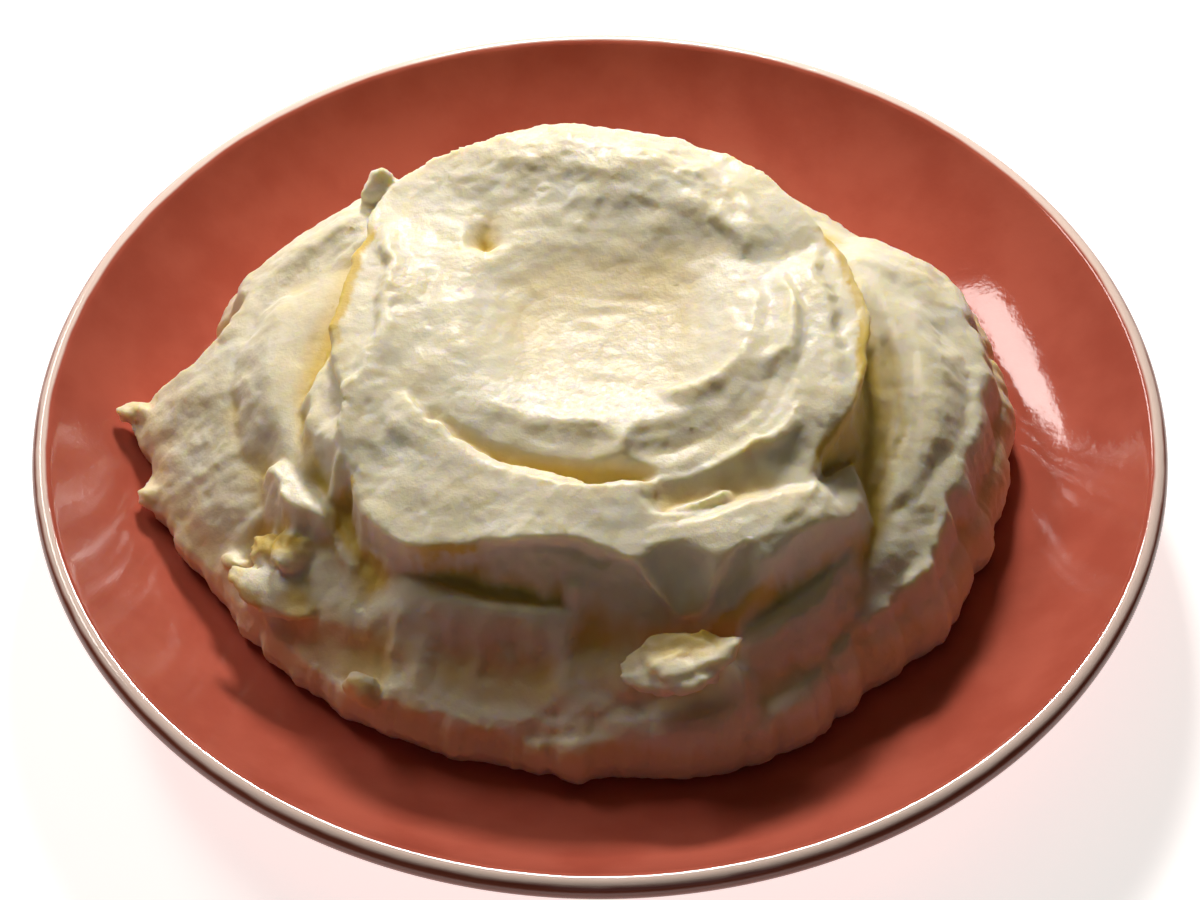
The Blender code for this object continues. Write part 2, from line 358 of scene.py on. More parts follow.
@dataclass
class Top:
    """The worked top of the heap on a square grid, and the grid's own measures."""

    reach: float
    pitch: float
    x: np.ndarray = field(init=False)
    y: np.ndarray = field(init=False)
    height: np.ndarray = field(init=False)
    polish: np.ndarray = field(init=False)
    lean_x: np.ndarray = field(init=False)
    lean_y: np.ndarray = field(init=False)
    tear_x: np.ndarray = field(init=False)
    tear_y: np.ndarray = field(init=False)

    TEAR_SIZE = 8.0
    TEAR_DEPTH = 0.9
    TEAR_OCTAVES = 4
    TEAR_KEEP = 0.55
    TEAR_SHIFT = 91.0
    FIRST_POLISH = 0.3

    def __post_init__(self) -> None:
        """Lay out the grid and the sideways wander that tears every stroke's edge."""
        line = np.arange(-self.reach, self.reach + self.pitch / 2, self.pitch)
        self.x, self.y = np.meshgrid(line, line)
        flat = np.stack((self.x, self.y, np.zeros_like(self.x)), axis=-1)
        kind = (self.TEAR_SIZE, self.TEAR_OCTAVES, self.TEAR_KEEP)
        self.tear_x = self.TEAR_DEPTH * WANDER.rough(flat, *kind)
        self.tear_y = self.TEAR_DEPTH * WANDER.rough(flat + self.TEAR_SHIFT, *kind)
        self.height = np.zeros_like(self.x)
        self.polish = np.full_like(self.x, self.FIRST_POLISH)
        self.lean_x = np.zeros_like(self.x)
        self.lean_y = np.zeros_like(self.x)

    def window(self, curve: np.ndarray, margin: float) -> tuple[slice, slice]:
        """Find the part of the grid that a stroke can touch.

        Args:
            curve: The stroke's arc as x, y, height.
            margin: How far from the arc the stroke reaches.

        Returns:
            The rows and the columns.
        """
        low = (curve[:, :2].min(0) - margin + self.reach) / self.pitch
        high = (curve[:, :2].max(0) + margin + self.reach) / self.pitch
        low = np.clip(np.floor(low), 0, None).astype(int)
        high = np.ceil(high).astype(int) + 1
        return slice(low[1], high[1]), slice(low[0], high[0])

    def read(self, layer: np.ndarray, x: np.ndarray, y: np.ndarray) -> np.ndarray:
        """Read one layer of the grid between its points.

        Args:
            layer: An array of the grid's shape.
            x: Where to read, in millimetres.
            y: Where to read, in millimetres.

        Returns:
            The values there.
        """
        last = layer.shape[0] - 1.001
        column = np.clip((x + self.reach) / self.pitch, 0, last)
        row = np.clip((y + self.reach) / self.pitch, 0, last)
        left, low = column.astype(int), row.astype(int)
        across, up = column - left, row - low
        lower = layer[low, left] * (1 - across) + layer[low, left + 1] * across
        upper = layer[low + 1, left] * (1 - across) + layer[low + 1, left + 1] * across
        return lower * (1 - up) + upper * up

    def blur(self, layer: np.ndarray, width: float) -> np.ndarray:
        """Smooth one layer of the grid.

        Args:
            layer: An array of the grid's shape.
            width: The blur's spread in millimetres.

        Returns:
            The smoothed layer.
        """
        steps = math.ceil(3 * width / self.pitch)
        bell = np.exp(-0.5 * (np.arange(-steps, steps + 1) * self.pitch / width) ** 2)
        bell /= bell.sum()
        padded = np.pad(layer, steps, mode="edge")
        rows = np.apply_along_axis(np.convolve, 1, padded, bell, mode="valid")
        return np.apply_along_axis(np.convolve, 0, rows, bell, mode="valid")


def soft_max(a: np.ndarray, b: np.ndarray, blend: float) -> np.ndarray:
    """Take the larger of two heights, rounded where they come nearer than the blend."""
    near = np.clip(blend - np.abs(a - b), 0.0, None) / blend
    return np.maximum(a, b) + near * near * blend / 4


def soft_min(a: np.ndarray, b: np.ndarray, blend: float) -> np.ndarray:
    """Take the smaller of two heights, rounded where they come nearer than the blend."""
    return -soft_max(-a, -b, blend)


@dataclass(frozen=True)
class Flank:
    """One side of a fold: its final slope, how far it rounds over, and how wide it lies."""

    slope: float
    rounding: float
    reach: float = 8.0

    BEYOND = 2.5

    def drop(self, distance: np.ndarray) -> np.ndarray:
        """Say how far the side has dropped at a distance from the crest."""
        rounded = self.slope * distance ** 2 / (distance + self.rounding)
        return rounded + self.BEYOND * np.clip(distance - self.reach, 0.0, None)


def lay(top: Top, place: tuple[slice, slice], shape: np.ndarray, blend: float, polish: float,
        scoop: bool) -> None:
    """Join a shape to the heap, and smooth what the spoon touched.

    Args:
        top: The heap's top.
        place: The part of the grid that the shape covers.
        shape: The shape's height there.
        blend: How near shape and heap are where the rounding starts.
        polish: How smooth the spoon leaves the skin.
        scoop: Whether the shape takes mash away.
    """
    height = top.height[place]
    lead = (height - shape) if scoop else (shape - height)
    touched = np.clip(0.5 + lead / (2 * blend), 0.0, 1.0)
    joined = soft_min(height, shape, blend) if scoop else soft_max(height, shape, blend)
    top.height[place] = joined
    top.polish[place] += touched * (polish - top.polish[place])


@dataclass(frozen=True)
class Block:
    """A block of mash: its outline, the level of its edge and of its middle, and its wall."""

    radius: float
    bulges: tuple[Lobe, ...]
    level: float
    rises: tuple[Lobe, ...]
    middle: float
    run: float
    wall: Flank
    blend: float = 1.5
    overhang: float = 0.0
    polish: float = 0.3

    EVERYWHERE = (slice(None), slice(None))
    OVERHANG_WIDTH = 2.5
    OVERHANG_DROP = 5.0

    def work(self, top: Top) -> None:
        """Set the block on the heap and push its edge out over the wall."""
        x, y = top.x + top.tear_x, top.y + top.tear_y
        radius, degrees = np.hypot(x, y), np.degrees(np.arctan2(y, x))
        distance = radius - add_lobes(self.radius, self.bulges, degrees)
        level = add_lobes(self.level, self.rises, degrees)
        away = np.abs(distance)
        fade = np.exp(-away / self.run)
        within = level * fade + self.middle * (1 - fade)
        shape = np.where(distance < 0, within, level - self.wall.drop(away))
        lay(top, self.EVERYWHERE, shape, self.blend, self.polish, scoop=False)
        push = self.overhang * np.exp(-(distance / self.OVERHANG_WIDTH) ** 2)
        push = push * np.clip(1 - (level - top.height) / self.OVERHANG_DROP, 0.0, 1.0)
        top.lean_x += push * x / np.maximum(radius, 1.0)
        top.lean_y += push * y / np.maximum(radius, 1.0)


@dataclass(frozen=True)
class Stroke:
    """A pass of the spoon along an arc, which swings out by a bow and lifts by an arch half-way.

    Tear is how far the wander of the grid frays the stroke's edge, and streak how deep the marks
    along it are. A fold's ends dive into the heap by END_DROP, and a track's ends run out of it.
    """

    start: Place
    end: Place
    bow: float = 0.0
    arch: float = 0.0
    blend: float = 2.0
    streak: float = 0.35
    polish: float = 0.3
    tear: float = 1.0

    END_DROP = 0.0
    END_SHARPNESS = 8
    STEPS = 30
    STREAK_WIDTH = 2.4
    STREAK_LENGTH = 26.0
    FINE_STREAK = 0.5
    FINER = (2.1, 1.7, 1.0)
    NEAREST = 0.2
    MARGIN = 26.0

    def sweep(self) -> np.ndarray:
        """Sweep the arc.

        Returns:
            Rows of x, y and height.
        """
        share = np.linspace(0.0, 1.0, self.STEPS + 1)
        middle = 4 * share * (1 - share)
        angle, radius, height = ((1 - share) * first + share * last
                                 for first, last in zip(self.start, self.end))
        radius = radius + self.bow * middle
        height = height + self.arch * middle - self.END_DROP * (2 * share - 1) ** self.END_SHARPNESS
        turn = np.radians(angle)
        return np.column_stack((radius * np.cos(turn), radius * np.sin(turn), height))

    def measure(self, top: Top) -> tuple[tuple[slice, slice], np.ndarray, np.ndarray, np.ndarray]:
        """Measure the grid against the stroke's arc.

        Args:
            top: The heap's top.

        Returns:
            The part of the grid in reach, its distance from the arc, positive outwards, the
            arc's height there, and the outward direction as two layers.
        """
        curve = self.sweep()
        place = top.window(curve, self.MARGIN)
        x = top.x[place] + self.tear * top.tear_x[place]
        y = top.y[place] + self.tear * top.tear_y[place]
        nearest = np.full(x.shape, np.inf)
        level = np.zeros(x.shape)
        along = np.zeros(x.shape)
        foot = np.zeros(x.shape + (2,))
        travelled = 0.0
        for start, end in zip(curve, curve[1:]):
            run = end - start
            length = math.hypot(run[0], run[1])
            share = ((x - start[0]) * run[0] + (y - start[1]) * run[1]) / length ** 2
            share = np.clip(share, 0.0, 1.0)
            foot_x, foot_y = start[0] + share * run[0], start[1] + share * run[1]
            distance = (x - foot_x) ** 2 + (y - foot_y) ** 2
            closer = distance < nearest
            nearest = np.where(closer, distance, nearest)
            level = np.where(closer, start[2] + share * run[2], level)
            along = np.where(closer, travelled + share * length, along)
            foot[closer, 0] = foot_x[closer]
            foot[closer, 1] = foot_y[closer]
            travelled += length
        nearest = np.sqrt(nearest)
        away = np.stack((x, y), axis=-1) - foot
        side = np.where((away * foot).sum(-1) >= 0, 1.0, -1.0)
        outward = away / np.maximum(nearest, self.NEAREST)[..., None] * side[..., None]
        distance = nearest * side
        marks = np.stack((distance / self.STREAK_WIDTH, along / self.STREAK_LENGTH,
                          np.full_like(along, self.start[0])), axis=-1)
        streaks = WANDER.at(marks) + self.FINE_STREAK * WANDER.at(marks * self.FINER)
        level = level + self.streak * streaks
        return place, distance, level, outward


@dataclass(frozen=True)
class Fold(Stroke):
    """A ridge of mash that the spoon pushed up, and may have leant over what is below it."""

    inner: Flank = Flank(0.5, 4)
    outer: Flank = Flank(1.0, 4)
    lean: float = 0.0

    END_DROP = 3.5
    LEAN_WIDTH = 3.5
    LEAN_DROP = 5.0

    def work(self, top: Top) -> None:
        """Lay the ridge on the heap."""
        place, distance, level, outward = self.measure(top)
        away = np.abs(distance)
        shape = np.where(distance < 0, level - self.inner.drop(away), level - self.outer.drop(away))
        lay(top, place, shape, self.blend, self.polish, scoop=False)
        near = np.exp(-(distance / self.LEAN_WIDTH) ** 2)
        high = np.clip(1 - (level - top.height[place]) / self.LEAN_DROP, 0.0, 1.0)
        push = self.lean * near * high
        top.lean_x[place] += push * outward[..., 0]
        top.lean_y[place] += push * outward[..., 1]


@dataclass(frozen=True)
class Trough(Stroke):
    """A spoon's track, with the curvature of its inner and outer wall."""

    inner: float = 10.0
    outer: float = 10.0

    END_DROP = -3.5

    def work(self, top: Top) -> None:
        """Scoop the track out of the heap."""
        place, distance, level, _ = self.measure(top)
        radius = np.where(distance < 0, self.inner, self.outer)
        lay(top, place, level + distance ** 2 / (2 * radius), self.blend, self.polish, scoop=True)


@dataclass(frozen=True)
class Well:
    """A hollow pressed in with the back of the spoon, just in front of the axis."""

    setback: float
    floor: float
    width: float
    depth: float
    rise: float
    power: float
    blend: float = 3.0
    polish: float = 0.8

    RING_WIDTH = 2.4
    RING_DEPTH = 0.2
    RING_TURN = 1.2
    RING_LAYER = 5.0

    def work(self, top: Top) -> None:
        """Press the hollow into the heap."""
        x, y = top.x + top.tear_x, top.y + top.tear_y + self.setback
        spread = np.abs(x / self.width) ** self.power + np.abs(y / self.depth) ** self.power
        ring = spread ** (1 / self.power) * self.width / self.RING_WIDTH
        marks = np.stack((ring, np.arctan2(y, x) * self.RING_TURN,
                          np.full_like(x, self.RING_LAYER)), axis=-1)
        shape = self.floor + self.rise * spread + self.RING_DEPTH * WANDER.at(marks)
        lay(top, Block.EVERYWHERE, shape, self.blend, self.polish, scoop=True)


@dataclass(frozen=True)
class Flake:
    """A torn flake, drip or lump that stands off the heap: its place, size and turn."""

    place: Place
    size: tuple[float, float, float]
    heading: float = 0.0
    pitch: float = 0.0
    roll: float = 0.0
    ragged: float = 0.3
    curl: float = 0.0

    RAGGED_SIZE = 0.9
    NEXT_FLAKE = 9.1

    def build(self, number: int) -> bpy.types.Object:
        """Shape the flake from a ball.

        Args:
            number: Its place in the list, which gives its name and its own noise.

        Returns:
            The flake's mesh.
        """
        select_only()
        bpy.ops.mesh.primitive_ico_sphere_add(subdivisions=5, radius=1.0)
        lump = start_piece(f"flake_{number}")
        points = get_vectors(lump.data.vertices, "co")
        rough = SKIN.rough(points + self.NEXT_FLAKE * number, self.RAGGED_SIZE, 3, 0.6)
        points = points * (1 + self.ragged * rough)[:, None] * np.array(self.size)
        points[:, 2] += self.curl * (points[:, 0] / self.size[0]) ** 2
        turn = (Matrix.Rotation(math.radians(self.heading), 3, "Z")
                @ Matrix.Rotation(math.radians(self.pitch), 3, "Y")
                @ Matrix.Rotation(math.radians(self.roll), 3, "X"))
        degrees, radius, height = self.place
        angle = math.radians(degrees)
        centre = np.array((radius * math.cos(angle), radius * math.sin(angle), height))
        set_points(lump, (points @ np.array(turn).T + centre) * MM)
        return lump


# The outline on the plate: broad on the right and behind on the left, with two tips on the left
OUTLINE = (
    Lobe(18, 24, 4), Lobe(90, 26, -3), Lobe(152, 16, 4.5), Lobe(176, 5, 9.5), Lobe(188, 14, 8.5),
    Lobe(250, 15, -2), Lobe(291, 10, 1.5), Lobe(312, 12, -2.5), Lobe(52, 16, -5), Lobe(128, 14, -4),
    Lobe(272, 26, -2),
)

# The saddle that carries the two long troughs: wide at the sides, narrow and high at the back
SADDLE = Block(
    radius=56, bulges=(Lobe(0, 30, 10), Lobe(180, 27, 10), Lobe(90, 40, -10), Lobe(270, 40, -14)),
    level=33, rises=(Lobe(98, 60, 12), Lobe(138, 18, -1.5), Lobe(44, 16, -3), Lobe(194, 18, -5)),
    middle=46, run=9, wall=Flank(1, 6, 16), blend=3)

# The rings round the saddle, and the two tips on the left with what lies below them
RINGS = (
    Fold((142, 52, CROWN - 1.5), (173, 71, STEP + 2), bow=1, inner=Flank(0.35, 8, 9),
         outer=Flank(1.3, 5, 14), blend=3),
    Fold((30, 50, CROWN - 6), (-2, 65, STEP), bow=7, inner=Flank(0.4, 8, 12), outer=Flank(1, 6, 14),
         blend=3),
    Fold((176, 56, STEP + 7), (176, 87, SKIRT + 1), inner=Flank(0.45, 6, 7), outer=Flank(0.45, 6, 7),
         blend=3),
    Fold((187, 54, STEP + 6), (189, 83, SKIRT - 1), inner=Flank(0.5, 6, 6), outer=Flank(0.6, 6, 7),
         blend=3),
    Fold((190, 80, SKIRT), (220, 72, SKIRT - 4), bow=-2, inner=Flank(0.4, 6), outer=Flank(1, 5),
         blend=3),
    Fold((10, 72, SKIRT + 6), (-26, 71, SKIRT - 4), inner=Flank(0.4, 5), outer=Flank(1.2, 4), blend=3),
    Fold((-3, 58, STEP + 8), (-70, 71, SKIRT + 4), bow=6, inner=Flank(0.5, 5, 10),
         outer=Flank(1.6, 5, 12), blend=2.5),
)

# The front step, deepest at the left corner and notched in the middle
FRONT_STEP = Block(
    radius=CROWN_RING, bulges=(Lobe(262, 50, 19), Lobe(216, 16, 13), Lobe(245, 10, 3), Lobe(269, 7, -5)),
    level=STEP, rises=(Lobe(215, 12, -3), Lobe(279, 6, -2)), middle=STEP + 3, run=14,
    wall=Flank(2.6, 1.4), overhang=1.5)

# The three long tracks, left, right and at the left-hand foot
TRACKS = (
    Trough((140, TROUGH_RING - 5, CROWN - 1), (204, TROUGH_RING + 4, STEP + 8), bow=1, arch=-1.5,
           inner=16, outer=26, polish=0.85),
    Trough((36, TROUGH_RING - 1, CROWN - 3), (-68, TROUGH_RING + 12, SKIRT + 5), bow=-2, arch=1.5,
           inner=10, outer=20, polish=0.75, streak=0.6),
    Trough((202, OUTER_RING + 2, STEP - 3), (212, OUTER_RING + 4, SKIRT), inner=6, outer=6),
)

# The crown: a corner behind on the left, and two wide lobes that sink towards the front
CROWN_BLOCK = Block(
    radius=CROWN_RING, bulges=(Lobe(137, 12, 6), Lobe(227, 18, 10), Lobe(286, 9, 8), Lobe(306, 14, 6)),
    level=CROWN, rises=(Lobe(90, 35, 1), Lobe(228, 28, -7.5), Lobe(290, 20, -9), Lobe(318, 14, -5)),
    middle=CROWN + 2.5, run=20, wall=Flank(6, 0.6), blend=1.2, overhang=2.0)

# The crest at the back, the two side walls, the well, and its rim at the back
CROWN_STROKES = (
    Fold((138, CROWN_RING + 6, CROWN + 1.5), (27, CROWN_RING - 4, CROWN), bow=-8,
         arch=CREST - CROWN - 1.2, inner=Flank(0.6, 8, 16), outer=Flank(1.4, 6, 16), blend=3.5,
         polish=0.0, tear=1.5),
    Fold((142, CROWN_RING + 2, CROWN + 1), (212, CROWN_RING + 8, CREASE), bow=-11, arch=3,
         inner=Flank(0.5, 4), outer=Flank(5, 1), tear=1.8, lean=0.5),
    Fold((28, CROWN_RING - 3, CROWN + 1.5), (-32, CROWN_RING + 1, CREASE), bow=-3, arch=2,
         inner=Flank(0.4, 4), outer=Flank(5, 1), tear=1.8, lean=0.5),
    Well(setback=3.5, floor=48, width=WELL_RING, depth=WELL_RING - 1, rise=9, power=3.4),
    Fold((106, WELL_RING - 4, CREST - 3.5), (26, WELL_RING + 2, CREST - 4), bow=1, arch=0.5,
         inner=Flank(1.4, 1.5, 6), outer=Flank(0.15, 4, 12), blend=2),
)

# Swirls and the pit round the well, the crease in front of it, and the lips and folds below
FRONT_STROKES = (
    Fold((24, WELL_RING - 2, CREST - 6), (-60, WELL_RING - 13, CROWN - 0.5), bow=3, arch=1,
         inner=Flank(1.2, 1.5, 5), outer=Flank(1, 2, 4), blend=1),
    Fold((26, WELL_RING + 4, CREST - 5), (-57, WELL_RING, CROWN), bow=1, arch=1,
         inner=Flank(0.9, 2, 6), outer=Flank(1.6, 2, 5), blend=1),
    Trough((126, WELL_RING + 4, CREST - 5), (138, WELL_RING - 3, CREASE + 1), inner=3, outer=3,
           blend=2.5, streak=0.8, polish=0.2),
    Trough((192, WELL_RING + 7, CREASE + 3), (281, WELL_RING + 1, CREASE - 1), bow=-2, arch=-1,
           inner=16, outer=0.8, blend=0.6, tear=0.6),
    Trough((273, WELL_RING + 1, CREASE - 1), (352, WELL_RING + 5, CREASE + 4), bow=1, arch=-2,
           inner=16, outer=0.8, blend=0.6, tear=0.6),
    Trough((200, WELL_RING + 7, CREASE + 1.5), (290, WELL_RING + 2, CREASE - 4), bow=-2, arch=-1.5,
           inner=1.6, outer=0.9, blend=0.5, tear=0.6),
    Fold((196, WELL_RING + 8.5, CREASE + 3), (272, WELL_RING + 3.5, CREASE), bow=-2, arch=-1,
         inner=Flank(5, 0.5, 6), outer=Flank(0.45, 6, 14), blend=0.6, tear=1.2),
    Fold((264, WELL_RING + 3.5, CREASE), (342, WELL_RING + 9, CREASE + 3.5), bow=-1, arch=-1,
         inner=Flank(5, 0.5, 6), outer=Flank(0.9, 3, 7), blend=0.6, lean=0.4, tear=1.2),
    Trough((281, WELL_RING + 9, LEDGE + 1), (322, WELL_RING + 18, LEDGE + 2.5), bow=-3, arch=-1.5,
           inner=5, outer=1.5, blend=1),
    Fold((286, WELL_RING + 10, LEDGE + 2.5), (305, WELL_RING + 10, LEDGE + 3), inner=Flank(2, 0.8, 3),
         outer=Flank(2, 0.8, 3), blend=0.6),
    Fold((271, CROWN_RING, LEDGE + 2), (322, CROWN_RING + 3, LEDGE + 3), bow=-1, arch=0.5,
         inner=Flank(2, 1.2, 5), outer=Flank(0.5, 4, 8), blend=0.8),
    Trough((207, CROWN_RING - 1, CROWN - 1), (220, CROWN_RING + 6, LEDGE + 2.5), inner=9, outer=9),
)

# What hangs and curls on the front slope: torn edges, hollows, the hook and the lowest roll
SLOPE_STROKES = (
    Fold((198, 61, STEP + 8), (216, 58, STEP + 9), inner=Flank(0.3, 4, 8), outer=Flank(3, 0.8),
         blend=1, lean=0.6, tear=1.6),
    Fold((206, 70, STEP - 4), (274, 60, STEP + 3), bow=3, inner=Flank(0.5, 5, 12), outer=Flank(4, 1.2),
         blend=1.2, lean=1.6, tear=1.8),
    Fold((228, 54, STEP + 7), (272, 52, STEP + 7), bow=2, inner=Flank(0.6, 3, 5), outer=Flank(1.2, 3),
         blend=1.5),
    Fold((271, 62, STEP), (293, 63, STEP + 3), bow=2, inner=Flank(0.8, 3), outer=Flank(1.8, 2),
         blend=1.5),
    Fold((292, 59, STEP + 4), (322, 56, STEP + 7), bow=2, inner=Flank(0.6, 3, 5), outer=Flank(2, 1.5),
         blend=1.2, lean=0.6),
    Trough((216, 72, STEP - 9), (238, 68, SKIRT + 1), bow=1, inner=4, outer=6, blend=1.2, polish=0.4),
    Trough((234, 67, STEP - 1), (276, 65, STEP - 1), arch=-6, inner=5, outer=7, blend=2.5),
    Fold((234, 70, SKIRT + 5), (274, 65, STEP - 5), bow=4, arch=-3, inner=Flank(1.2, 2, 4),
         outer=Flank(1.2, 2), blend=1, tear=0.4, lean=1.2),
    Trough((262, 64, STEP - 4), (292, 67, STEP - 4), bow=1, arch=-1, inner=9, outer=9, blend=1.5),
    Fold((248, 70, SKIRT - 2), (292, 70, SKIRT + 2), bow=-2, arch=2, inner=Flank(0.6, 3),
         outer=Flank(1.2, 3), tear=1.5),
    Fold((226, 73, SKIRT - 5), (250, 71, SKIRT - 4), arch=1, inner=Flank(0.6, 3), outer=Flank(1, 3)),
)

# All of it, in the order in which it is worked
HEAP = ((SADDLE,) + RINGS + (FRONT_STEP,) + TRACKS
        + (CROWN_BLOCK,) + CROWN_STROKES + FRONT_STROKES + SLOPE_STROKES)

# Torn flakes, drips and tips that stand off the heap
FLAKES = (
    Flake((283, 63, STEP + 5), (9.5, 5.5, 2.2), heading=13, pitch=-8, roll=6, ragged=0.36),
    Flake((235, 71, STEP - 7), (3.6, 2.4, 2.8), heading=-30, ragged=0.2),
    Flake((212, 62, STEP + 0.5), (4, 6, 3.4), heading=-28, roll=-10, ragged=0.2),
    Flake((210, 66, STEP - 1), (5, 3.5, 2), heading=-35, ragged=0.35),
    Flake((216, 69, STEP - 2.5), (9, 4, 1.3), heading=-28, roll=15, ragged=0.25),
    Flake((138, 54, CROWN - 3), (3.6, 2.4, 4.2), pitch=8),
    Flake((229, 53, LEDGE - 3), (2, 1.6, 2.6), pitch=15),
    Flake((176, 84, SKIRT + 1.5), (4.5, 2.6, 2), heading=-12, pitch=6),
    Flake((188, 80.5, SKIRT - 1), (4, 2.6, 2), heading=5, pitch=6),
    Flake((206, 71, STEP - 6), (3.2, 1.6, 1.4), heading=-30),
)


# The plate


@dataclass(frozen=True)
class ReactiveGlaze:
    """Terracotta-coloured stoneware glaze, poured and fired glossy.

    It gives the eye an even brick red with a wet shine, faint mottling where it pooled, and a pale
    line along the lip, where the glaze runs thin over the round edge. Beyond the lip the outer side
    is painted a darker brown, a painted shade.
    """

    body: str = "C0624F"
    pooled: str = "B45745"
    thin: str = "FBE3D6"
    # Painted shade: the darker brown of the outer side beyond the lip
    edge: str = "8A4A3A"
    biscuit: str = "CDA98C"
    gloss: float = 0.07
    biscuit_rough: float = 0.75
    ior: float = 1.5
    mottle: float = 14.0 * MM
    mottle_relief: float = 0.25 * MM
    speck: float = 0.7 * MM
    speck_relief: float = 0.05 * MM
    wobble: float = 9.0 * MM
    wobble_width: float = 0.5 * MM
    thin_inside: float = -0.25 * MM
    thin_outside: float = 1.45 * MM
    thin_blur: float = 0.3 * MM
    thin_low: float = 1.6 * MM
    thin_high: float = 0.9 * MM
    foot_low: float = 0.5 * MM
    foot_high: float = 0.9 * MM

    def make(self, crest: float, crest_height: float) -> bpy.types.Material:
        """Mix the glaze for a plate with its lip's crest at a radius and height.

        Args:
            crest: The radius of the lip's highest ring, in metres.
            crest_height: The height of that ring, in metres.

        Returns:
            The material.
        """
        material, tree, out = new_material("plate_reactive_glaze")
        place = add_node(tree, "TexCoord").outputs["Object"]
        flat = add_node(tree, "VectorMath", {"operation": "MULTIPLY", 1: (1.0, 1.0, 0.0)}, {0: place})
        length = add_node(tree, "VectorMath", {"operation": "LENGTH"}, {0: flat.outputs[0]})
        radius = length.outputs["Value"]
        height = add_node(tree, "SeparateXYZ", links={0: place}).outputs["Z"]

        cloud = add_node(tree, "TexNoise", {"Scale": 1 / self.mottle, "Detail": 4.0}, {"Vector": place})
        wobble = add_node(tree, "TexNoise", {"Scale": 1 / self.wobble, "Detail": 2.0}, {"Vector": place})
        shifted = add_node(tree, "Math", {"operation": "MULTIPLY_ADD", 1: self.wobble_width},
                           {0: wobble.outputs["Fac"], 2: radius}).outputs[0]
        inside, outside = crest + self.thin_inside, crest + self.thin_outside
        edges = {}
        for name, value, low, high in (
                ("pool", cloud.outputs["Fac"], 0.35, 0.7),
                ("rise", shifted, inside - self.thin_blur, inside + self.thin_blur),
                ("fall", shifted, outside - self.thin_blur, outside + self.thin_blur),
                ("top", height, crest_height - self.thin_low, crest_height - self.thin_high),
                ("foot", height, self.foot_high, self.foot_low)):
            edge = add_node(tree, "MapRange", {"interpolation_type": "SMOOTHSTEP", "From Min": low,
                                               "From Max": high}, {"Value": value})
            edges[name] = edge.outputs["Result"]
        keep = add_node(tree, "Math", {"operation": "SUBTRACT", 0: 1.0}, {1: edges["fall"]}).outputs[0]
        product = {"operation": "MULTIPLY"}
        band = add_node(tree, "Math", product, {0: edges["rise"], 1: keep}).outputs[0]
        band = add_node(tree, "Math", product, {0: band, 1: edges["top"]}).outputs[0]
        # Painted shade: past the pale band, the outer side takes the darker edge colour
        outside_shade = add_node(tree, "Math", product, {0: edges["fall"], 1: edges["rise"]}).outputs[0]
        colour = add_node(tree, "MixRGB", {"Color1": srgb(self.body), "Color2": srgb(self.pooled)},
                          {"Fac": edges["pool"]}).outputs[0]
        for share, code in ((outside_shade, self.edge), (band, self.thin), (edges["foot"], self.biscuit)):
            colour = add_node(tree, "MixRGB", {"Color2": srgb(code)},
                              {"Fac": share, "Color1": colour}).outputs[0]
        dull = add_node(tree, "MapRange", {"To Min": self.gloss, "To Max": self.biscuit_rough},
                        {"Value": edges["foot"]})
        ripple = add_node(tree, "TexNoise", {"Scale": 1 / self.speck, "Detail": 2.0}, {"Vector": place})
        swell = add_node(tree, "Bump", {"Strength": 0.25, "Distance": self.speck_relief},
                         {"Height": ripple.outputs["Fac"]})
        wave = add_node(tree, "Bump", {"Strength": 0.5, "Distance": self.mottle_relief},
                        {"Height": cloud.outputs["Fac"], "Normal": swell.outputs["Normal"]})
        shader = add_node(tree, "BsdfPrincipled", {"IOR": self.ior}, {
            "Base Color": colour, "Roughness": dull.outputs["Result"], "Normal": wave.outputs["Normal"]})
        tree.links.new(shader.outputs[0], out.inputs["Surface"])
        return material


